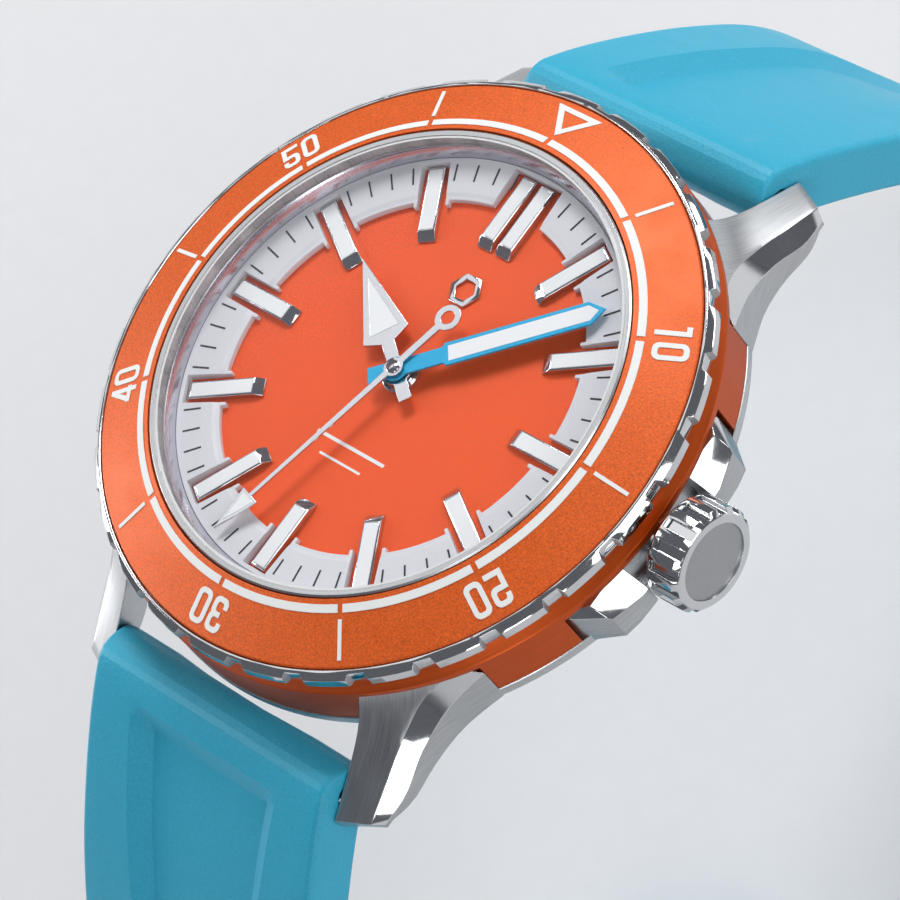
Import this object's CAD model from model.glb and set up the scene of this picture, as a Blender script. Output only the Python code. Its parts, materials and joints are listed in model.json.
"""Dive watch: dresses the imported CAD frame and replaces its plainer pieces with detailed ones."""

from __future__ import annotations

import json
import logging
import math
from collections.abc import Callable, Sequence
from dataclasses import dataclass
from enum import Enum

import bmesh
import bpy
from mathutils import Matrix, Vector

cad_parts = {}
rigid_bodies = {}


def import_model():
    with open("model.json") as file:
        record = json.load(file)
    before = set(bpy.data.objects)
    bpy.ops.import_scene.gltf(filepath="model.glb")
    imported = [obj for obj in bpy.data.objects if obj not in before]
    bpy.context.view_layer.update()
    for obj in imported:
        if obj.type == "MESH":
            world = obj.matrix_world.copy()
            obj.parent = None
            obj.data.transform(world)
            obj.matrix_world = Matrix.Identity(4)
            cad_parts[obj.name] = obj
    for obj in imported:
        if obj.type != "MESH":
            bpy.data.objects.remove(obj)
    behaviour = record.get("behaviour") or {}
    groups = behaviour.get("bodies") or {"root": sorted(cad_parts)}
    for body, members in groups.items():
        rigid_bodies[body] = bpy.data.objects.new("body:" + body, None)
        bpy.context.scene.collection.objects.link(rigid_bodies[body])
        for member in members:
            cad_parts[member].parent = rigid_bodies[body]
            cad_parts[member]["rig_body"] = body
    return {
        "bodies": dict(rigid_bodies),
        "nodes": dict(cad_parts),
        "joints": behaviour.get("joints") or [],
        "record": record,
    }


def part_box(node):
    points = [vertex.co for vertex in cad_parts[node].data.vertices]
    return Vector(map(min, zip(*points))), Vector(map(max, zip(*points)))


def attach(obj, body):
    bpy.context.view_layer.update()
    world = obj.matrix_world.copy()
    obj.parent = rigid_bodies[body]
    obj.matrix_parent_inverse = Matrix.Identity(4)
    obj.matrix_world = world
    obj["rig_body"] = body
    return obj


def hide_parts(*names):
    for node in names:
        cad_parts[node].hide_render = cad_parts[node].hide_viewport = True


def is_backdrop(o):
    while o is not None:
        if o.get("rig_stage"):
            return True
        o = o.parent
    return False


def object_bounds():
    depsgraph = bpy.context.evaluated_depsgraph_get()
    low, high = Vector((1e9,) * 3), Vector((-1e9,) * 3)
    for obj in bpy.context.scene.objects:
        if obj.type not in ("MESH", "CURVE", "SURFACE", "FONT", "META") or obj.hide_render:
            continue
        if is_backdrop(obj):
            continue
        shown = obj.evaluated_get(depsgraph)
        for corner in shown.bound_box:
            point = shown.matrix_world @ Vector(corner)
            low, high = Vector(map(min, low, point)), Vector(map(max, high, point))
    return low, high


LOG = logging.getLogger("dive_watch")
MM = 0.001
UM = 1e-6
SAME_PLACE = 1e-7
Point = tuple[float, float, float]
Pair = tuple[float, float]
Colour = tuple[float, float, float]
FaceTest = Callable[[bmesh.types.BMFace], bool]


# ---- Finishes ----


NOISE_RANGE = (0.3, 0.7)
CLOUDS_PER_MM = 0.4
DRIFT = 0.03
EDGE_TURN = (0.98, 0.8)
COAT_ROUGHNESS = 0.08
EDGE_SAMPLES = 4


class Lay(Enum):
    """How the marks of a finish run over a surface, as the grain's scale along three directions."""

    EVEN = (1.0, 1.0, 1.0)
    ALONG_Y = (1.0, 0.02, 0.02)
    LEVEL = (0.03, 0.03, 1.0)
    ROUND_Z = (1.0, 0.0, 1.0)


def add_node(tree: bpy.types.NodeTree, kind: str, **inputs: object) -> bpy.types.Node:
    """Adds a shader node and fills its inputs.

    Args:
        tree: The node tree to add to.
        kind: The node's type without its ShaderNode prefix.
        inputs: Values or output sockets, by input name with underscores for spaces.

    Returns:
        The new node.
    """
    node = tree.nodes.new("ShaderNode" + kind)
    for name, value in inputs.items():
        socket = node.inputs[int(name[1:])] if name[1:].isdigit() else node.inputs[name.replace("_", " ")]
        if isinstance(value, bpy.types.NodeSocket):
            tree.links.new(value, socket)
        else:
            socket.default_value = value
    return node


def vector_math(tree: bpy.types.NodeTree, what: str, a: object, b: object) -> bpy.types.NodeSocket:
    """Does one thing to a pair of vectors.

    Args:
        tree: The node tree to add to.
        what: The Vector Math node's operation.
        a: The first vector, or its socket.
        b: The second vector, or its socket.

    Returns:
        The result's socket.
    """
    node = add_node(tree, "VectorMath", i0=a, i1=b)
    node.operation = what
    return node.outputs[1 if what in ("LENGTH", "DOT_PRODUCT") else 0]


def between(tree: bpy.types.NodeTree, share: object, low: float, high: float) -> bpy.types.NodeSocket:
    """Spreads a noise between two values.

    Args:
        tree: The node tree to add to.
        share: The noise's socket.
        low: The value at the low end of the noise's usual range.
        high: The value at its high end.

    Returns:
        The value's socket.
    """
    least, most = NOISE_RANGE
    node = add_node(tree, "MapRange", Value=share, From_Min=least, From_Max=most, To_Min=low, To_Max=high)
    return node.outputs[0]


def blank_material(name: str) -> tuple[bpy.types.Material, bpy.types.NodeSocket]:
    """Makes a node material that holds nothing but the place on the object.

    Args:
        name: The material's name.

    Returns:
        The material, and the socket of the place in millimetres.
    """
    made = bpy.data.materials.new(name)
    made.use_nodes = True
    tree = made.node_tree
    tree.nodes.clear()
    return made, vector_math(tree, "MULTIPLY", add_node(tree, "TexCoord").outputs["Object"], (1 / MM,) * 3)


@dataclass(frozen=True)
class Finish:
    """A surface finish with its grain, sheen variation and worn edges."""

    name: str
    colour: Colour
    metallic: float = 0.0
    roughness: float = 0.4
    lay: Lay = Lay.EVEN
    marks_per_mm: float = 5.0
    depth_um: float = 4.0
    tone: float = 0.05
    rough_spread: float = 0.05
    edge_um: float = 30.0
    wear: float = 0.0
    coat: float = 0.0
    ior: float = 1.5

    def coordinates(self, tree: bpy.types.NodeTree, place: bpy.types.NodeSocket) -> bpy.types.NodeSocket:
        """Stretches or wraps a place in millimetres to the way the marks run.

        Args:
            tree: The material's node tree.
            place: The place on the object, in millimetres.

        Returns:
            The coordinates for the grain's noise.
        """
        if self.lay is not Lay.ROUND_Z:
            return vector_math(tree, "MULTIPLY", place, self.lay.value)
        spoke = vector_math(tree, "MULTIPLY", place, (1.0, 1.0, 0.0))
        radius = vector_math(tree, "LENGTH", spoke, (0.0, 0.0, 0.0))
        slow = add_node(tree, "SeparateXYZ", Vector=vector_math(tree, "MULTIPLY", place, (DRIFT,) * 3))
        height = add_node(tree, "SeparateXYZ", Vector=place).outputs[2]
        return add_node(tree, "CombineXYZ", X=radius, Y=height, Z=slow.outputs[1]).outputs[0]

    def material(self) -> bpy.types.Material:
        """Builds the finish the first time it is asked for.

        Returns:
            The material.
        """
        known = bpy.data.materials.get(self.name + "_finish")
        if known is not None:
            return known
        made, place = blank_material(self.name + "_finish")
        tree = made.node_tree
        along = self.coordinates(tree, place)
        marks = add_node(tree, "TexNoise", Vector=along, Scale=self.marks_per_mm, Detail=3.0).outputs[0]
        cloud = add_node(tree, "TexNoise", Vector=place, Scale=CLOUDS_PER_MM, Detail=2.0).outputs[0]
        both = add_node(tree, "Math", i0=marks, i1=cloud)
        mean = add_node(tree, "Math", i0=both.outputs[0], i1=0.5)
        mean.operation = "MULTIPLY"
        smoothest, roughest = self.roughness - self.rough_spread, self.roughness + self.rough_spread
        rough = between(tree, mean.outputs[0], smoothest, roughest)
        tone = between(tree, marks, 1.0 - self.tone, 1.0 + self.tone)
        colour = vector_math(tree, "MULTIPLY", self.colour, self.grey(tree, tone))
        rounded = add_node(tree, "Bevel", Radius=self.edge_um * UM)
        rounded.samples = EDGE_SAMPLES
        if self.wear > 0.0:
            colour = self.worn(tree, colour, rounded.outputs[0])
        bump = add_node(tree, "Bump", Strength=1.0, Distance=self.depth_um * UM, Height=marks,
                        Normal=rounded.outputs[0])
        shader = add_node(tree, "BsdfPrincipled", Base_Color=colour, Metallic=self.metallic, Roughness=rough,
                          IOR=self.ior, Coat_Weight=self.coat, Coat_Roughness=COAT_ROUGHNESS,
                          Normal=bump.outputs[0])
        tree.links.new(shader.outputs[0], add_node(tree, "OutputMaterial").inputs[0])
        return made

    def grey(self, tree: bpy.types.NodeTree, level: bpy.types.NodeSocket) -> bpy.types.NodeSocket:
        """Returns a vector with all three parts at one level."""
        return add_node(tree, "CombineXYZ", X=level, Y=level, Z=level).outputs[0]

    def worn(self, tree: bpy.types.NodeTree, colour: bpy.types.NodeSocket,
             rounded: bpy.types.NodeSocket) -> bpy.types.NodeSocket:
        """Lightens the colour where an edge turns.

        Args:
            tree: The material's node tree.
            colour: The colour away from the edges.
            rounded: The normal with its edges rounded.

        Returns:
            The colour with its edges worn.
        """
        facing = vector_math(tree, "DOT_PRODUCT", rounded, add_node(tree, "NewGeometry").outputs["Normal"])
        flat, turned = EDGE_TURN
        edge = add_node(tree, "MapRange", Value=facing, From_Min=flat, From_Max=turned, To_Min=0.0,
                        To_Max=self.wear)
        mix = add_node(tree, "Mix")
        mix.data_type = "RGBA"
        tree.links.new(edge.outputs[0], mix.inputs[0])
        tree.links.new(colour, mix.inputs[6])
        mix.inputs[7].default_value = (*(0.5 + 0.5 * c for c in self.colour), 1.0)
        return mix.outputs[2]


@dataclass(frozen=True)
class ClearGlass:
    """Coated flat glass, which shows what is behind it and mirrors a little."""

    name: str
    tint: Colour
    mirror: float
    coating: Colour = (0.9, 0.93, 1.0)
    roughness: Pair = (0.01, 0.04)
    scratches_per_mm: float = 1.2
    scratches_um: float = 0.4
    ior: float = 1.5

    def material(self) -> bpy.types.Material:
        """Builds the glass the first time it is asked for.

        Returns:
            The material.
        """
        known = bpy.data.materials.get(self.name + "_finish")
        if known is not None:
            return known
        made, place = blank_material(self.name + "_finish")
        tree = made.node_tree
        fine = add_node(tree, "TexNoise", Vector=place, Scale=self.scratches_per_mm, Detail=2.0).outputs[0]
        bump = add_node(tree, "Bump", Strength=1.0, Distance=self.scratches_um * UM, Height=fine)
        clear = add_node(tree, "BsdfTransparent", Color=(*self.tint, 1.0))
        gloss = add_node(tree, "BsdfPrincipled", Base_Color=(*self.coating, 1.0), Metallic=1.0,
                         Roughness=between(tree, fine, *self.roughness), Normal=bump.outputs[0])
        fresnel = add_node(tree, "Fresnel", IOR=self.ior)
        share = add_node(tree, "Math", i0=fresnel.outputs[0], i1=self.mirror)
        share.operation = "MULTIPLY"
        mix = add_node(tree, "MixShader", i0=share.outputs[0], i1=clear.outputs[0], i2=gloss.outputs[0])
        tree.links.new(mix.outputs[0], add_node(tree, "OutputMaterial").inputs[0])
        return made


STEEL = (0.56, 0.57, 0.58)
BRUSHED = Finish("brushed_steel", STEEL, metallic=1.0, roughness=0.32, lay=Lay.ALONG_Y, marks_per_mm=18.0,
                 depth_um=3.0, tone=0.14, rough_spread=0.07, edge_um=40.0, wear=0.5)
BRUSHED_SIDE = Finish("side_brushed_steel", (0.5, 0.51, 0.52), metallic=1.0, roughness=0.36, lay=Lay.LEVEL,
                      marks_per_mm=16.0, depth_um=2.5, tone=0.12, rough_spread=0.06, edge_um=40.0, wear=0.5)
POLISHED = Finish("polished_steel", (0.66, 0.67, 0.68), metallic=1.0, roughness=0.07, marks_per_mm=3.0,
                  depth_um=0.25, tone=0.02, rough_spread=0.03, edge_um=40.0, wear=0.4)
TURNED = Finish("turned_steel", STEEL, metallic=1.0, roughness=0.28, lay=Lay.ROUND_Z, marks_per_mm=9.0,
                tone=0.10, rough_spread=0.06, wear=0.4)
REHAUT = Finish("turned_rehaut", (0.62, 0.61, 0.67), metallic=1.0, roughness=0.24, lay=Lay.ROUND_Z,
                marks_per_mm=14.0, depth_um=3.0, tone=0.12, edge_um=20.0, wear=0.3)
BLASTED = Finish("blasted_steel", (0.42, 0.42, 0.43), metallic=0.9, roughness=0.5, marks_per_mm=14.0,
                 depth_um=6.0, tone=0.08, edge_um=20.0, wear=0.2)
MIDCASE = Finish("anodised_orange", (0.55, 0.075, 0.003), metallic=0.6, roughness=0.36, lay=Lay.ROUND_Z,
                 marks_per_mm=8.0, tone=0.08, rough_spread=0.06, edge_um=40.0, wear=0.3)
INSERT = Finish("insert_orange", (0.74, 0.115, 0.010), metallic=0.22, roughness=0.5, marks_per_mm=8.0,
                depth_um=10.0, tone=0.24, rough_spread=0.08, wear=0.2)
DIAL = Finish("dial_orange", (0.86, 0.088, 0.002), metallic=0.1, roughness=0.52, marks_per_mm=9.0,
              depth_um=9.0, tone=0.2, rough_spread=0.07, edge_um=20.0)
CHAPTER = Finish("chapter_grey", (0.68, 0.69, 0.70), roughness=0.5, marks_per_mm=12.0, depth_um=3.0,
                 tone=0.03, rough_spread=0.04)
LUME = Finish("white_lume", (0.84, 0.86, 0.84), roughness=0.55, marks_per_mm=14.0, tone=0.03, edge_um=20.0)
INK = Finish("black_ink", (0.012, 0.012, 0.013), marks_per_mm=14.0, depth_um=2.0, tone=0.1, edge_um=10.0)
HAND_BLUE = Finish("hand_blue", (0.012, 0.42, 0.70), metallic=0.35, roughness=0.3, marks_per_mm=16.0,
                   depth_um=2.0, tone=0.06, edge_um=25.0, wear=0.2, coat=0.3)
RUBBER = Finish("strap_rubber", (0.028, 0.42, 0.62), roughness=0.46, marks_per_mm=6.0, depth_um=26.0,
                tone=0.08, rough_spread=0.06, edge_um=70.0)
NITRILE = Finish("nitrile", (0.015, 0.015, 0.016), roughness=0.6, marks_per_mm=8.0, tone=0.08)
SEAL = Finish("white_seal", (0.75, 0.75, 0.74), roughness=0.35, marks_per_mm=8.0, depth_um=2.0, tone=0.03,
              rough_spread=0.04, edge_um=20.0)
BRASS = Finish("gilt_brass", (0.72, 0.50, 0.20), metallic=1.0, roughness=0.3, lay=Lay.ROUND_Z,
               marks_per_mm=10.0, depth_um=3.0, tone=0.08, rough_spread=0.06, edge_um=25.0, wear=0.3)
STRIPED = Finish("rhodium", (0.58, 0.58, 0.60), metallic=1.0, roughness=0.26, lay=Lay.ALONG_Y,
                 marks_per_mm=2.2, depth_um=6.0, tone=0.14, rough_spread=0.10, edge_um=40.0, wear=0.5)
BLUED = Finish("blued_steel", (0.03, 0.06, 0.28), metallic=1.0, roughness=0.16, marks_per_mm=6.0,
               depth_um=1.0, tone=0.10, edge_um=25.0, wear=0.2)
HOLDER = Finish("holder_plastic", (0.55, 0.55, 0.53), roughness=0.5, marks_per_mm=6.0, depth_um=5.0,
                edge_um=40.0)
RUBY = Finish("ruby", (0.42, 0.008, 0.03), roughness=0.12, depth_um=0.5, rough_spread=0.04, edge_um=25.0,
              coat=0.6, ior=1.76)
FLOOR = Finish("floor_paper", (0.72, 0.72, 0.73), roughness=0.8, marks_per_mm=0.5, depth_um=5.0, tone=0.01)
SAPPHIRE = ClearGlass("coated_sapphire", (0.99, 0.99, 1.0), mirror=0.04)
BACK_GLASS = ClearGlass("back_sapphire", (0.96, 0.975, 0.98), mirror=0.8)


# ---- Mesh tools ----


def smooth_path(points: Sequence[Point], steps: int) -> list[Vector]:
    """Runs a smooth curve through points.

    Args:
        points: The points, in millimetres.
        steps: How many places to return, ends included.

    Returns:
        Places evenly spaced over the curve's spans, in millimetres.
    """
    ends = [Vector(points[0]) * 2 - Vector(points[1]), Vector(points[-1]) * 2 - Vector(points[-2])]
    knots = [ends[0], *(Vector(p) for p in points), ends[1]]
    places = []
    for step in range(steps):
        at = step / (steps - 1) * (len(points) - 1)
        span = min(int(at), len(points) - 2)
        u = at - span
        a, b, c, d = knots[span:span + 4]
        bend = (2 * a - 5 * b + 4 * c - d) * u * u + (3 * b - a - 3 * c + d) * u ** 3
        places.append((2 * b + (c - a) * u + bend) / 2)
    return places


def loft(rings: Sequence[Sequence[Vector]], strip_slots: Sequence[int] | None = None) -> bmesh.types.BMesh:
    """Extrudes one closed outline through a row of rings and caps both ends.

    Args:
        rings: Outlines with the same number of places, in millimetres.
        strip_slots: The material slot of the strip from each place to the next.

    Returns:
        The closed mesh, in metres.
    """
    mesh = bmesh.new()
    last = [mesh.verts.new(place * MM) for place in rings[0]]
    count = len(last)
    first = list(last)
    edges = [mesh.edges.new((last[j], last[(j + 1) % count])) for j in range(count)]
    for ring in rings[1:]:
        made = bmesh.ops.extrude_edge_only(mesh, edges=edges)["geom"]
        fresh = {item for item in made if isinstance(item, bmesh.types.BMVert)}
        edges = [e for e in made if isinstance(e, bmesh.types.BMEdge) and set(e.verts) <= fresh]
        ahead = [next(e.other_vert(v) for e in v.link_edges if e.other_vert(v) in fresh) for v in last]
        for vert, place in zip(ahead, ring):
            vert.co = place * MM
        if strip_slots is not None:
            for j in range(count):
                k = (j + 1) % count
                mesh.faces.get((last[j], last[k], ahead[k], ahead[j])).material_index = strip_slots[j]
        last = ahead
    mesh.faces.new(first)
    mesh.faces.new(last)
    bmesh.ops.recalc_face_normals(mesh, faces=mesh.faces)
    return mesh


def lathe(profile: Sequence[Pair], steps: int = 240) -> bmesh.types.BMesh:
    """Spins a closed profile about the dial's axis.

    Args:
        profile: Radius and height of each corner, in millimetres.
        steps: How many facets the full turn has.

    Returns:
        The closed ring, in metres.
    """
    mesh = bmesh.new()
    corners = [mesh.verts.new((r * MM, 0.0, z * MM)) for r, z in profile]
    sides = [mesh.edges.new((corners[i - 1], corners[i])) for i in range(len(corners))]
    bmesh.ops.spin(mesh, geom=corners + sides, axis=(0, 0, 1), cent=(0, 0, 0), angle=math.tau, steps=steps,
                   use_merge=True, use_duplicate=False)
    bmesh.ops.remove_doubles(mesh, verts=mesh.verts, dist=SAME_PLACE)
    bmesh.ops.recalc_face_normals(mesh, faces=mesh.faces)
    return mesh


def carved(mesh: bmesh.types.BMesh, cutter: bmesh.types.BMesh) -> bmesh.types.BMesh:
    """Takes one closed mesh away from another.

    Args:
        mesh: The mesh to cut, which is freed.
        cutter: What to take away, which is freed.

    Returns:
        The cut mesh.
    """
    pair: list[bpy.types.Object] = []
    for part in (mesh, cutter):
        data = bpy.data.meshes.new("carving")
        part.to_mesh(data)
        part.free()
        pair.append(bpy.data.objects.new("carving", data))
        bpy.context.scene.collection.objects.link(pair[-1])
    cut = pair[0].modifiers.new("cut", "BOOLEAN")
    cut.operation = "DIFFERENCE"
    cut.object = pair[1]
    result = bmesh.new()
    result.from_object(pair[0], bpy.context.evaluated_depsgraph_get())
    bmesh.ops.remove_doubles(result, verts=result.verts, dist=SAME_PLACE)
    for part in pair:
        bpy.data.meshes.remove(part.data)
    return result


def middle(node: str) -> Vector:
    """Returns the middle of a CAD node's box, in millimetres."""
    low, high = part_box(node)
    return (low + high) / (2 * MM)


def round_edges(mesh: bmesh.types.BMesh, width_mm: float, sharp_deg: float = 30.0) -> None:
    """Bevels every edge that turns by more than an angle.

    Args:
        mesh: The mesh, in metres.
        width_mm: How far the rounding reaches from each edge.
        sharp_deg: Edges that turn by more than this are rounded.
    """
    limit = math.radians(sharp_deg)
    sharp = [e for e in mesh.edges if len(e.link_faces) == 2 and e.calc_face_angle(0.0) > limit]
    bmesh.ops.bevel(mesh, geom=sharp, offset=width_mm * MM, offset_type="OFFSET", segments=2, profile=0.5,
                    affect="EDGES", clamp_overlap=True, material=-1)


def piece(name: str, mesh: bmesh.types.BMesh, body: str, finishes: Sequence[Finish | ClearGlass],
          stands_for: Sequence[str] = (), sharp_deg: float = 35.0) -> bpy.types.Object:
    """Makes a finished object from a mesh and rides it on a body.

    Args:
        name: The piece's name.
        mesh: Its mesh, in metres, which is freed.
        body: The CAD body that it rides on.
        finishes: One finish for each material slot of the mesh.
        stands_for: The CAD nodes that it replaces.
        sharp_deg: Edges that turn by more than this stay sharp.

    Returns:
        The new object.
    """
    for face in mesh.faces:
        face.smooth = True
    for edge in mesh.edges:
        edge.smooth = len(edge.link_faces) == 2 and edge.calc_face_angle(0.0) < math.radians(sharp_deg)
    data = bpy.data.meshes.new(name)
    mesh.to_mesh(data)
    mesh.free()
    for finish in finishes:
        data.materials.append(finish.material())
    made = bpy.data.objects.new(name, data)
    bpy.context.scene.collection.objects.link(made)
    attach(made, body)
    if stands_for:
        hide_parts(*stands_for)
    LOG.info("%s: %d faces on %s", name, len(data.polygons), body)
    return made


def even_shading(made: bpy.types.Object) -> None:
    """Weights a piece's normals by the size of its faces."""
    made.modifiers.new("even_shading", "WEIGHTED_NORMAL").keep_sharp = True


@dataclass
class Watch:
    """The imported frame, and how its nodes are dressed or refined (merge_within is in metres)."""

    frame: dict
    merge_within: float = 2e-6
    flat_deg: float = 0.6

    def node_body(self, node: str) -> str:
        """Returns the body that a node rides on."""
        return self.frame["nodes"][node]["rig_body"]

    def dress(self, finish: Finish | ClearGlass, *nodes: str) -> None:
        """Gives CAD nodes whose shape is right a finish.

        Args:
            finish: The finish.
            nodes: The CAD nodes.
        """
        for node in nodes:
            for slot in self.frame["nodes"][node].material_slots:
                slot.material = finish.material()
            LOG.info("%s: dressed in %s", node, finish.name)

    def refine(self, node: str, finish: Finish | ClearGlass, width_mm: float, sharp_deg: float = 30.0,
               second: Finish | None = None, chosen: FaceTest | None = None) -> None:
        """Stands a copy of a CAD node in for it, with its facets merged and its edges rounded.

        Args:
            node: The CAD node.
            finish: The copy's finish.
            width_mm: How far the rounding reaches from each edge.
            sharp_deg: Edges that turn by more than this are rounded.
            second: Another finish, for the faces that are chosen.
            chosen: Says whether a face takes the second finish.
        """
        mesh = bmesh.new()
        mesh.from_mesh(self.frame["nodes"][node].data)
        bmesh.ops.remove_doubles(mesh, verts=mesh.verts, dist=self.merge_within)
        flat = math.radians(self.flat_deg)
        bmesh.ops.dissolve_limit(mesh, angle_limit=flat, verts=mesh.verts, edges=mesh.edges)
        for face in mesh.faces:
            face.material_index = 1 if chosen is not None and chosen(face) else 0
        round_edges(mesh, width_mm, sharp_deg)
        finishes = [finish] if second is None else [finish, second]
        made = piece(node + "_finished", mesh, self.node_body(node), finishes, [node])
        even_shading(made)


# ---- Case ----


@dataclass(frozen=True)
class Lug:
    """One lug: a turned top, a polished bevel and a brushed side.

    Sizes are in millimetres, and places are for the +X +Y corner. The upper face and the underside are
    turned about the dial's axis, so their heights depend on the radius alone.
    """

    inner_x: float = 10.1
    inner_y: Pair = (16.9, 23.43)
    outer: tuple[Point, ...] = ((15.9, 12.35, 0), (14.35, 15.2, 0), (13.6, 17.6, 0), (13.42, 20.0, 0),
                                (12.78, 22.0, 0))
    ridge: tuple[Point, ...] = ((14.85, 13.1, 0), (13.3, 15.6, 0), (12.66, 18.0, 0), (12.44, 20.4, 0),
                                (12.3, 22.5, 0))
    stations: int = 15
    columns: int = 7
    tip_r: float = 25.5
    tip_z: float = 1.35
    slope: float = 0.72
    shoulder: float = 1.85
    shoulder_r: float = 19.6
    shoulder_fade: float = 0.9
    under_z: float = 0.42
    flare: float = 2.9
    flare_r: float = 20.0
    flare_fade: float = 2.0
    bevel_drop: Pair = (0.22, 0.42)
    bevel_grows_over: float = 0.4
    least_side: float = 0.35
    root_share: float = 0.9
    edge: float = 0.05
    edge_deg: float = 22.0

    def top(self, r: float) -> float:
        """Returns the height of the turned upper face at a radius."""
        shoulder = self.shoulder * math.exp((self.shoulder_r - r) / self.shoulder_fade)
        return self.tip_z + self.slope * (self.tip_r - r) + shoulder

    def under(self, r: float) -> float:
        """Returns the height of the turned underside at a radius."""
        return self.under_z + self.flare * math.exp((self.flare_r - r) / self.flare_fade)

    def ring(self, t: float, outer: Vector, ridge: Vector) -> list[Vector]:
        """Outlines the lug at one station.

        Args:
            t: 0 at the case and 1 at the tip.
            outer: The side's place in plan.
            ridge: The bevel's upper edge in plan.

        Returns:
            The closed outline: top from the inside out, bevel, side, underside and inner wall.
        """
        inner = Vector((self.inner_x, self.inner_y[0] + t * (self.inner_y[1] - self.inner_y[0]), 0))
        places = [inner.lerp(ridge, i / self.columns) for i in range(self.columns + 1)]
        outline = [Vector((p.x, p.y, self.top(p.xy.length))) for p in places]
        least, growth = self.bevel_drop
        drop = least + growth * min(1.0, t / self.bevel_grows_over)
        side_top = self.top(outer.xy.length) - drop
        outline.append(Vector((outer.x, outer.y, side_top)))
        side_low = min(self.under(outer.xy.length), side_top - self.least_side)
        outline.append(Vector((outer.x, outer.y, side_low)))
        outline.append(Vector((inner.x, inner.y, self.under(inner.xy.length))))
        return outline

    def build(self, flip_x: int, flip_y: int) -> bmesh.types.BMesh:
        """Models one lug in its corner.

        Args:
            flip_x: 1 or -1, the side of the case.
            flip_y: 1 or -1, towards twelve or six o'clock.

        Returns:
            The lug's mesh: slot 0 brushed, 1 polished, 2 side.
        """
        outer = smooth_path(self.outer, self.stations)
        ridge = smooth_path(self.ridge, self.stations)
        rings = [self.ring(i / (self.stations - 1), outer[i], ridge[i]) for i in range(self.stations)]
        inward = Matrix.Diagonal((self.root_share, self.root_share, 1))
        root = [inward @ place for place in rings[0]]
        root = [Vector((max(place.x, self.inner_x), place.y, place.z)) for place in root]
        turned = Matrix.Diagonal((flip_x, flip_y, 1))
        slots = [0] * self.columns + [1, 2, 2, 0]
        mesh = loft([[turned @ place for place in ring] for ring in [root, *rings]], slots)
        round_edges(mesh, self.edge, self.edge_deg)
        return mesh


@dataclass(frozen=True)
class Guard:
    """A crown guard: an extruded plan cut by sloping planes.

    Sizes are in millimetres, and places are for the upper guard. Each cut is a place on its plane and the
    direction of what is removed.
    """

    low: float = 3.3
    high: float = 6.4
    plan: tuple[Pair, ...] = ((17.5, 3.2), (20.95, 3.2), (20.95, 3.75), (20.48, 5.87), (18.66, 7.13),
                              (17.5, 7.7))
    cuts: tuple[tuple[Point, Point], ...] = (
        ((19.4, 5.0, 6.4), (1.2, 0.0, 1.3)),
        ((20.15, 6.15, 5.55), (0.55, 0.62, 0.55)),
        ((20.95, 5.0, 3.55), (0.7, 0.0, -0.7)),
    )
    upward: float = 0.3
    edge: float = 0.05
    edge_deg: float = 18.0

    def build(self, side: int) -> bmesh.types.BMesh:
        """Models one guard.

        Args:
            side: 1 above the crown, towards twelve, and -1 below it.

        Returns:
            The guard's mesh: slot 0 polished, 1 brushed.
        """
        mesh = bmesh.new()
        face = mesh.faces.new([mesh.verts.new((x * MM, y * side * MM, self.low * MM)) for x, y in self.plan])
        made = bmesh.ops.extrude_face_region(mesh, geom=[face])["geom"]
        top = [item for item in made if isinstance(item, bmesh.types.BMVert)]
        bmesh.ops.translate(mesh, verts=top, vec=(0, 0, (self.high - self.low) * MM))
        bmesh.ops.recalc_face_normals(mesh, faces=mesh.faces)
        turned = Matrix.Diagonal((1, side, 1))
        for at, away in self.cuts:
            self.cut(mesh, turned @ Vector(at), (turned @ Vector(away)).normalized())
        bmesh.ops.recalc_face_normals(mesh, faces=mesh.faces)
        for wall in mesh.faces:
            wall.material_index = 0 if wall.normal.z > self.upward else 1
        round_edges(mesh, self.edge, self.edge_deg)
        return mesh

    def cut(self, mesh: bmesh.types.BMesh, at: Vector, away: Vector) -> None:
        """Removes what lies beyond a plane and closes the cut.

        Args:
            mesh: The mesh to cut, in metres.
            at: A place on the plane, in millimetres.
            away: The plane's normal, towards what is removed.
        """
        everything = [*mesh.verts, *mesh.edges, *mesh.faces]
        cut = bmesh.ops.bisect_plane(mesh, geom=everything, plane_co=at * MM, plane_no=away, clear_outer=True)
        edges = [item for item in cut["geom_cut"] if isinstance(item, bmesh.types.BMEdge)]
        bmesh.ops.contextual_create(mesh, geom=edges)


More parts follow.
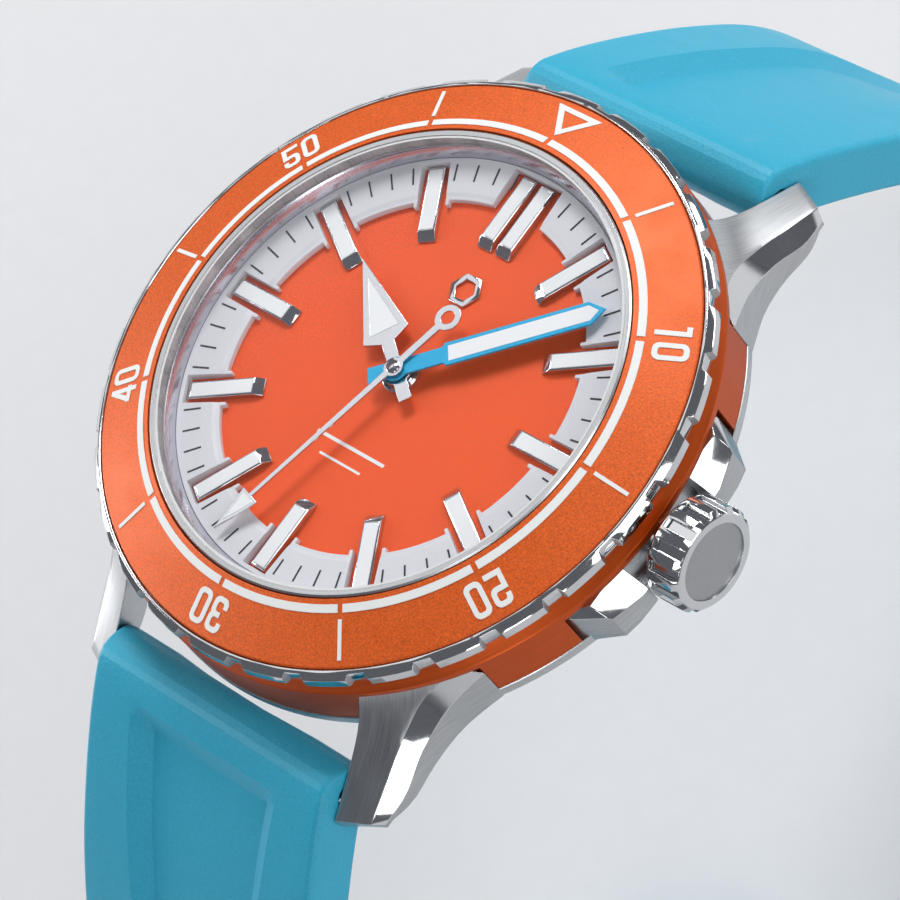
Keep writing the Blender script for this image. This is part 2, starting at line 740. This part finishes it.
@dataclass
class Case:
    """The steel case: barrel, lugs and guards, with the orange shell round it. Sizes are in millimetres."""

    lug: Lug = Lug()
    guard: Guard = Guard()
    corners: tuple[tuple[str, int, int], ...] = (("12_crown", 1, 1), ("12_far", -1, 1), ("6_crown", 1, -1),
                                                 ("6_far", -1, -1))
    bore_r: float = 17.6
    foot_r: float = 18.7
    foot_z: float = 1.6
    rim_r: float = 20.1
    rim_z: Pair = (3.18, 3.85)
    core_r: float = 19.45
    core_z: float = 7.0
    deck_r: float = 18.6
    deck_z: float = 7.6
    groove_r: Pair = (16.6, 18.05)
    groove_z: float = 7.35
    neck_r: float = 16.2
    neck_z: float = 9.2
    lip_r: float = 15.52
    lip_z: Pair = (9.3, 10.36)
    glass_r: float = 15.12
    glass_z: float = 9.45
    dial_r: float = 15.35
    ledge_z: float = 6.7
    rim_ease: Pair = (0.06, 0.08)
    rim_top_ease: float = 0.05
    lip_ease: float = 0.1
    lug_sharp_deg: float = 20.0
    guard_sharp_deg: float = 15.0
    shell_edge: float = 0.04
    back_edge: float = 0.06

    def barrel(self) -> bmesh.types.BMesh:
        """Turns the barrel, from its foot over the rim and the lip and back down inside.

        Returns:
            The barrel's mesh.
        """
        low, high = self.rim_z
        rim = [(self.bore_r, self.foot_z), (self.foot_r, self.foot_z),
               (self.rim_r - self.rim_ease[0], low - self.rim_ease[1]), (self.rim_r, low),
               (self.rim_r, high - self.rim_top_ease), (self.rim_r - self.rim_top_ease, high)]
        core = [(self.core_r, high), (self.core_r, self.core_z), (self.deck_r, self.deck_z)]
        near, far = self.groove_r
        groove = [(far, self.deck_z), (far, self.groove_z), (near, self.groove_z), (near, self.deck_z)]
        foot, top = self.lip_z
        lip = [(self.neck_r, self.deck_z), (self.neck_r, self.neck_z), (self.lip_r, foot),
               (self.lip_r, top - self.lip_ease), (self.lip_r - self.lip_ease, top), (self.glass_r, top)]
        inside = [(self.glass_r, self.glass_z), (self.dial_r, self.glass_z), (self.dial_r, self.ledge_z),
                  (self.bore_r, self.ledge_z)]
        return lathe([*rim, *core, *groove, *lip, *inside])

    def build(self, watch: Watch) -> None:
        """Builds the case's pieces and dresses its CAD nodes.

        Args:
            watch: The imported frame.
        """
        piece("case_barrel", self.barrel(), "case", [TURNED], ["case_frame"])
        for name, flip_x, flip_y in self.corners:
            lug = self.lug.build(flip_x, flip_y)
            finishes = [BRUSHED, POLISHED, BRUSHED_SIDE]
            made = piece("lug_" + name, lug, "case", finishes, ["case_frame"], self.lug_sharp_deg)
            even_shading(made)
        for name, side in (("upper", 1), ("lower", -1)):
            guard = self.guard.build(side)
            finishes = [POLISHED, BRUSHED_SIDE]
            piece("crown_guard_" + name, guard, "case", finishes, ["case_frame"],
                  self.guard_sharp_deg)
        watch.refine("mid_case", MIDCASE, self.shell_edge)
        watch.refine("case_back", TURNED, self.back_edge)
        watch.dress(BACK_GLASS, "case_back_crystal")
        watch.dress(NITRILE, "case_back_gasket", "crown_gasket", "bezel_gasket")
        watch.dress(POLISHED, "crown_tube", "bezel_click_spring", "spring_bar_12", "spring_bar_6")


@dataclass
class Top:
    """Crystal, bezel, dial and hands."""

    bezel_edge: float = 0.05
    soft_edge: float = 0.04
    fine_edge: float = 0.03
    lume_edge: float = 0.02
    thin_edge: float = 0.015
    bezel_deg: float = 25.0
    chapter_deg: float = 12.0
    notch_r: float = 19.4
    notch_turn: float = 0.3
    boss_r: Pair = (0.75, 1.2)
    boss_height: float = 0.45
    boss_gap: float = 0.05
    boss_ease: float = 0.1
    boss_facets: int = 64

    def in_notch(self, face: bmesh.types.BMFace) -> bool:
        """Tells the matte side of a bezel notch from the polished ring.

        Args:
            face: A face of the ring.

        Returns:
            Whether the face turns to one side, near the ring's edge.
        """
        outward = face.calc_center_median().xy
        sideways = abs(outward.normalized().cross(face.normal.xy))
        return outward.length > self.notch_r * MM and sideways > self.notch_turn

    def boss(self) -> bmesh.types.BMesh:
        """Turns the ring that covers the dial's centre hole, under the hour hand.

        Returns:
            The ring's mesh.
        """
        near, far = self.boss_r
        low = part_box("dial")[1].z / MM + self.boss_gap
        high = low + self.boss_height
        ease = self.boss_ease
        profile = [(near, low), (far, low), (far, high - ease), (far - ease, high), (near, high)]
        return lathe(profile, self.boss_facets)

    def build(self, watch: Watch) -> None:
        """Dresses and refines the parts that show from above.

        Args:
            watch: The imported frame.
        """
        watch.refine("crystal", SAPPHIRE, self.fine_edge)
        watch.dress(SEAL, "crystal_gasket")
        watch.refine("bezel_ring", POLISHED, self.bezel_edge, self.bezel_deg, BLASTED, self.in_notch)
        watch.refine("bezel_insert", INSERT, self.soft_edge)
        watch.dress(LUME, "bezel_lume", "hour_lume", "minute_lume", "seconds_lume", "dial_print")
        watch.refine("rehaut", REHAUT, self.fine_edge)
        watch.refine("chapter_ring", CHAPTER, self.soft_edge, self.chapter_deg)
        watch.dress(INK, "minute_track")
        watch.dress(DIAL, "dial")
        watch.refine("dial_badge", POLISHED, self.fine_edge)
        watch.refine("hour_markers", POLISHED, self.fine_edge)
        watch.refine("marker_lume", LUME, self.lume_edge)
        watch.refine("hour_hand", POLISHED, self.fine_edge)
        piece("hand_boss", self.boss(), "hour_hand", [POLISHED])
        watch.refine("minute_hand", HAND_BLUE, self.fine_edge)
        watch.refine("seconds_hand", POLISHED, self.thin_edge)


@dataclass
class Movement:
    """The movement, seen through the case back."""

    striped: tuple[str, ...] = ("train_bridge", "balance_cock", "rotor")
    gilt: tuple[str, ...] = ("main_plate", "mainspring_barrel", "third_wheel", "fourth_wheel",
                             "balance_wheel")
    blued: tuple[str, ...] = ("bridge_screws", "hairspring")
    polished: tuple[str, ...] = ("escape_wheel", "pallet_fork", "setting_lever", "winding_stem")

    def build(self, watch: Watch) -> None:
        """Dresses the movement's CAD nodes.

        Args:
            watch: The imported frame.
        """
        watch.dress(HOLDER, "movement_holder")
        watch.dress(STRIPED, *self.striped)
        watch.dress(BRASS, *self.gilt)
        watch.dress(BLUED, *self.blued)
        watch.dress(RUBY, "bridge_jewels")
        watch.dress(POLISHED, *self.polished)


@dataclass
class Crown:
    """The crown and its end disc."""

    edge: float = 0.06
    edge_deg: float = 25.0
    disc_edge: float = 0.04

    def build(self, watch: Watch) -> None:
        """Refines the crown and its disc."""
        watch.refine("crown", POLISHED, self.edge, self.edge_deg)
        watch.refine("crown_cap", BLASTED, self.disc_edge)


# ---- Strap ----


def follow(table: Sequence[Pair], at: float) -> float:
    """Reads a table of places and values, in straight lines between them.

    Args:
        table: Each place with its value, in rising order.
        at: The place to read.

    Returns:
        The value there, or the nearest end's value beyond the table.
    """
    if at <= table[0][0]:
        return table[0][1]
    for (a, low), (b, high) in zip(table, table[1:]):
        if at <= b:
            return low + (high - low) * (at - a) / (b - a)
    return table[-1][1]


@dataclass
class StrapHalf:
    """One rubber strap half, with a sunk panel, along the path that its CAD solid follows.

    Sizes are in millimetres. The path is a row of lengths, with the heading in degrees below the horizontal
    at each of their ends. A table pairs a distance from the spring bar with the size there.
    """

    total: float
    tip: float
    side: int
    bar: Pair
    lengths: tuple[float, ...] = (4, 12, 7, 35.8, 15.4, 60)
    headings: tuple[float, ...] = (38, 44, 52, 69, 69, 180, 180)
    outer: tuple[Pair, ...] = ((0, 2.2), (8, 2.0), (25, 1.6), (60, 1.3))
    inner: tuple[Pair, ...] = ((0, 1.6), (8, 1.6), (25, 1.45), (60, 1.3))
    width: tuple[Pair, ...] = ((0, 10.0), (12, 10.0), (55, 9.0))
    end_r: float = 1.8
    least: float = 0.02
    panel_half: tuple[Pair, ...] = ((1.2, 6.4), (9.5, 5.8), (19.5, 4.7), (36, 3.0))
    panel_depth: tuple[Pair, ...] = ((1.2, 0.0), (2.7, 0.9), (22, 0.8), (36, 0.0))
    panel_wall: float = 1.35
    panel_wall_share: float = 0.6
    panel_margin: float = 0.3
    wall_steps: int = 3
    crease: float = 0.5
    crease_steps: int = 8
    first_stations: tuple[float, ...] = (-1.78, -1.7, -1.5, -1.2, -0.8, -0.4, 0.0, 0.6, 1.2, 1.95)
    even_from: float = 2.7
    step: float = 0.75
    tip_steps: int = 16
    case_r: float = 20.35
    clear_below: float = -4.0
    bar_bore: float = 0.88
    bore_half: float = 12.0
    bore_steps: int = 32
    reach: float = 3.0
    holes: int = 6
    first_hole: float = 76.5
    pitch: float = 4.6
    hole_r: float = 0.85
    hole_stretch: float = 0.6
    hole_steps: int = 12
    buckle_bar_s: float = 74.7
    buckle_bar_bore: float = 0.68
    tongue_half: float = 1.15
    tongue_from: float = -1.5
    tongue_to: float = 2.5

    def walk(self, until: float) -> tuple[float, float, float]:
        """Walks the path.

        Args:
            until: The distance from the spring bar, which may be a little below zero.

        Returns:
            Distance from the watch's middle, height, and heading in radians below the horizontal.
        """
        y, z, left = *self.bar, until
        for length, start, end in zip(self.lengths, self.headings, self.headings[1:]):
            a = math.radians(start)
            run = min(left, length) if until > 0 else until
            turn = math.radians(end - start) / length
            b = a + turn * max(run, 0.0)
            if run <= 0 or abs(turn) < 1e-6:
                y, z = y + run * math.cos(a), z - run * math.sin(a)
            else:
                y, z = y + (math.sin(b) - math.sin(a)) / turn, z + (math.cos(b) - math.cos(a)) / turn
            left -= run
            if until <= 0 or left <= 1e-9:
                return y, z, b
        return y, z, b

    def section(self, s: float) -> list[Vector]:
        """Outlines the strap at a distance along it.

        Args:
            s: The distance from the spring bar.

        Returns:
            The closed outline: over the top from one edge to the other, then back underneath.
        """
        y, z, heading = self.walk(s)
        swell = math.sqrt(max(self.least, 1 - (s / self.end_r) ** 2)) if s < 0 else 1.0
        up, down = follow(self.outer, s) * swell, follow(self.inner, s) * swell
        half = follow(self.width, s)
        if self.tip > 0 and s > self.total - self.tip:
            half *= math.sqrt(max(self.least, 1 - ((s - self.total + self.tip) / self.tip) ** 2))
        crease = min(self.crease, (up + down) / 3, half / 3)
        panel = min(follow(self.panel_half, s), half - crease - self.panel_margin)
        depth = follow(self.panel_depth, s)
        wall = min(self.panel_wall, self.panel_wall_share * panel)
        away = [1 - k / self.wall_steps for k in range(self.wall_steps + 1)]
        rise = [(panel - wall * a, up - depth * a) for a in away]
        rise += [(panel + (half - crease - panel) * k, up) for k in (0.33, 0.66)]
        floor = [(x * (panel - wall), up - depth) for x in (-0.66, -0.33, 0.0, 0.33, 0.66)]
        turns = [i * math.pi / (2 * self.crease_steps) for i in range(self.crease_steps + 1)]
        corner = [(crease * (1 - math.sin(a)), crease * (1 - math.cos(a))) for a in turns]
        edge = [(half - a, up - b) for a, b in corner]
        edge += [(half - a, b - down) for a, b in reversed(corner)]
        under = [(half * x, -down) for x in (0.6, 0.2, -0.2, -0.6)]
        outline = [(-x, v) for x, v in reversed(rise)] + floor + rise + edge + under
        outline += [(-x, v) for x, v in reversed(edge)]
        across, upward = math.sin(heading), math.cos(heading)
        return [Vector((x, self.side * (y + across * v), z + upward * v)) for x, v in outline]

    def stations(self) -> list[float]:
        """Sets out where the strap is outlined.

        Returns:
            Distances from the spring bar, closer together at the bar and round the tip.
        """
        body_end = self.total - self.tip
        steps = int((body_end - self.even_from) / self.step)
        marks = [*self.first_stations, *(self.even_from + i * self.step for i in range(steps + 1))]
        if self.tip > 0:
            turns = [i * math.pi / (2 * self.tip_steps) for i in range(1, self.tip_steps + 1)]
            return marks + [body_end + self.tip * math.sin(a) for a in turns]
        if self.total - marks[-1] > self.step / 8:
            marks.append(self.total)
        return marks

    def through(self, s: float, outline: Sequence[Pair]) -> bmesh.types.BMesh:
        """Models a prism that passes through the strap.

        Args:
            s: The distance from the spring bar.
            outline: Places across and along the strap.

        Returns:
            The prism.
        """
        y, z, heading = self.walk(s)
        across, upward = math.sin(heading), math.cos(heading)
        rings = []
        for v in (-self.reach, self.reach):
            rings.append([Vector((x, self.side * (y + upward * e + across * v), z - across * e + upward * v))
                          for x, e in outline])
        return loft(rings)

    def bore(self, y: float, z: float, radius: float) -> bmesh.types.BMesh:
        """Models a rod that runs across the strap.

        Args:
            y: The rod's distance from the watch's middle.
            z: Its height.
            radius: Its radius.

        Returns:
            The rod.
        """
        turns = [i * math.tau / self.bore_steps for i in range(self.bore_steps)]
        ring = [(self.side * (y + radius * math.cos(a)), z + radius * math.sin(a)) for a in turns]
        return loft([[Vector((x, *place)) for place in ring] for x in (-self.bore_half, self.bore_half)])

    def clear_case(self, rings: Sequence[Sequence[Vector]]) -> None:
        """Moves the strap's end out of the case.

        Args:
            rings: The strap's outlines, which are changed.
        """
        for place in (place for ring in rings for place in ring):
            if place.xy.length < self.case_r and place.z > self.clear_below:
                reach = math.sqrt(max(self.case_r ** 2 - place.x ** 2, 0))
                place.y = math.copysign(max(abs(place.y), reach), place.y)

    def build(self) -> bmesh.types.BMesh:
        """Models the strap half, clears it from the case and bores it for its bars.

        Returns:
            The strap's mesh.
        """
        rings = [self.section(s) for s in self.stations()]
        self.clear_case(rings)
        mesh = carved(loft(rings), self.bore(*self.bar, self.bar_bore))
        if self.tip > 0:
            turns = [i * math.pi / self.hole_steps for i in range(self.hole_steps + 1)]
            hole = [(self.hole_r * math.cos(a), self.hole_stretch + self.hole_r * math.sin(a)) for a in turns]
            hole += [(-x, -e) for x, e in hole]
            for i in range(self.holes):
                mesh = carved(mesh, self.through(self.first_hole + i * self.pitch, hole))
            return mesh
        y, z, _ = self.walk(self.buckle_bar_s)
        mesh = carved(mesh, self.bore(y, z, self.buckle_bar_bore))
        wide, near, far = self.tongue_half, self.tongue_from, self.tongue_to
        slot = [(-wide, near), (wide, near), (wide, far), (-wide, far)]
        return carved(mesh, self.through(self.buckle_bar_s, slot))


@dataclass
class Strap:
    """Both strap halves, the keepers and the buckle."""

    buckle_side: float = 76.0
    tail_side: float = 108.0
    tail_tip: float = 8.0
    sharp_deg: float = 15.0
    keeper_edge: float = 0.25
    frame_edge: float = 0.18
    tongue_edge: float = 0.1

    def build(self, watch: Watch) -> None:
        """Builds the strap's pieces.

        Args:
            watch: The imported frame.
        """
        spring_bar = middle("spring_bar_12")
        bar = (spring_bar.y, spring_bar.z)
        buckle_half = StrapHalf(self.buckle_side, 0.0, 1, bar).build()
        tail_half = StrapHalf(self.tail_side, self.tail_tip, -1, bar).build()
        for end, half in (("12", buckle_half), ("6", tail_half)):
            node = "strap_" + end
            piece("strap_half_" + end, half, node, [RUBBER], [node], self.sharp_deg)
        watch.refine("fixed_keeper", RUBBER, self.keeper_edge)
        watch.refine("free_keeper", RUBBER, self.keeper_edge)
        watch.refine("buckle_frame", BRUSHED, self.frame_edge)
        watch.refine("buckle_tongue", POLISHED, self.tongue_edge)
        watch.dress(POLISHED, "buckle_bar")


# ---- Studio ----


@dataclass(frozen=True)
class Lamp:
    """A soft box aimed at the watch, with its place and size in metres and its power in watts."""

    name: str
    at: Point
    size: Pair
    watts: float

    def hang(self) -> None:
        """Hangs the lamp in the scene."""
        data = bpy.data.lights.new(self.name, "AREA")
        data.shape = "RECTANGLE"
        data.size, data.size_y = self.size
        data.energy = self.watts
        made = bpy.data.objects.new(self.name, data)
        made.location = self.at
        made.rotation_euler = (-Vector(self.at)).to_track_quat("-Z", "Y").to_euler()
        bpy.context.scene.collection.objects.link(made)


@dataclass
class Studio:
    """Floor, lights and camera. The camera's place is in millimetres, in the watch's frame."""

    eye: Point = (165.688, -46.314, 214.751)
    ahead: Point = (-0.60266, 0.16564, -0.78062)
    up: Point = (-0.38657, 0.79518, 0.46717)
    lens: float = 183.56
    film: float = 36.0
    near: float = 0.01
    floor_half: float = 1.6
    sky: Colour = (0.86, 0.9, 1.0)
    sky_strength: float = 0.16
    lamps: tuple[Lamp, ...] = (
        Lamp("key", (-0.18, 0.34, 0.46), (0.24, 0.2), 2.1),
        Lamp("left_strip", (-0.5, -0.16, 0.2), (0.1, 0.5), 1.5),
        Lamp("crown_side", (0.45, -0.4, 0.22), (0.2, 0.34), 0.9),
        Lamp("back_strip", (0.15, 0.55, 0.2), (0.5, 0.1), 0.8),
        Lamp("card", (-0.42, 0.1, 0.52), (0.26, 0.26), 0.2),
        Lamp("front", (0.46, 0.1, 0.4), (0.26, 0.4), 1.0),
    )

    def floor(self, height: float) -> None:
        """Lays the pale floor.

        Args:
            height: Its height, in metres.
        """
        mesh = bmesh.new()
        bmesh.ops.create_grid(mesh, x_segments=1, y_segments=1, size=self.floor_half)
        bmesh.ops.translate(mesh, verts=mesh.verts, vec=(0, 0, height))
        data = bpy.data.meshes.new("floor")
        mesh.to_mesh(data)
        mesh.free()
        data.materials.append(FLOOR.material())
        made = bpy.data.objects.new("floor", data)
        bpy.context.scene.collection.objects.link(made)
        made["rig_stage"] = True

    def world(self) -> None:
        """Fills the shadows with a faint sky and keeps the colours as they are."""
        world = bpy.data.worlds.new("studio")
        world.use_nodes = True
        background = world.node_tree.nodes["Background"]
        background.inputs[0].default_value = (*self.sky, 1.0)
        background.inputs[1].default_value = self.sky_strength
        bpy.context.scene.world = world
        bpy.context.scene.view_settings.view_transform = "Standard"

    def camera(self) -> None:
        """Places the camera."""
        data = bpy.data.cameras.new("camera")
        data.lens = self.lens
        data.sensor_width = self.film
        data.clip_start = self.near
        made = bpy.data.objects.new("camera", data)
        ahead = Vector(self.ahead).normalized()
        side = ahead.cross(Vector(self.up)).normalized()
        turned = Matrix((side, side.cross(ahead), -ahead)).transposed().to_4x4()
        made.matrix_world = Matrix.Translation(Vector(self.eye) * MM) @ turned
        bpy.context.scene.collection.objects.link(made)
        bpy.context.scene.camera = made

    def build(self, low: float) -> None:
        """Sets up the studio round the watch.

        Args:
            low: The height of the watch's lowest point, in metres.
        """
        self.floor(low)
        self.world()
        for lamp in self.lamps:
            lamp.hang()
        self.camera()


def box_lists() -> list[list[float]]:
    """Returns the object's box now, as plain lists."""
    low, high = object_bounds()
    return [list(low), list(high)]


def main() -> None:
    """Builds every sub-assembly round the frame."""
    logging.basicConfig(level=logging.INFO, format="%(name)s: %(message)s")
    watch = Watch(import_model())
    cad_box = box_lists()
    Studio().build(cad_box[0][2])
    Case().build(watch)
    Top().build(watch)
    Movement().build(watch)
    Crown().build(watch)
    Strap().build(watch)


if __name__ == "__main__":
    main()
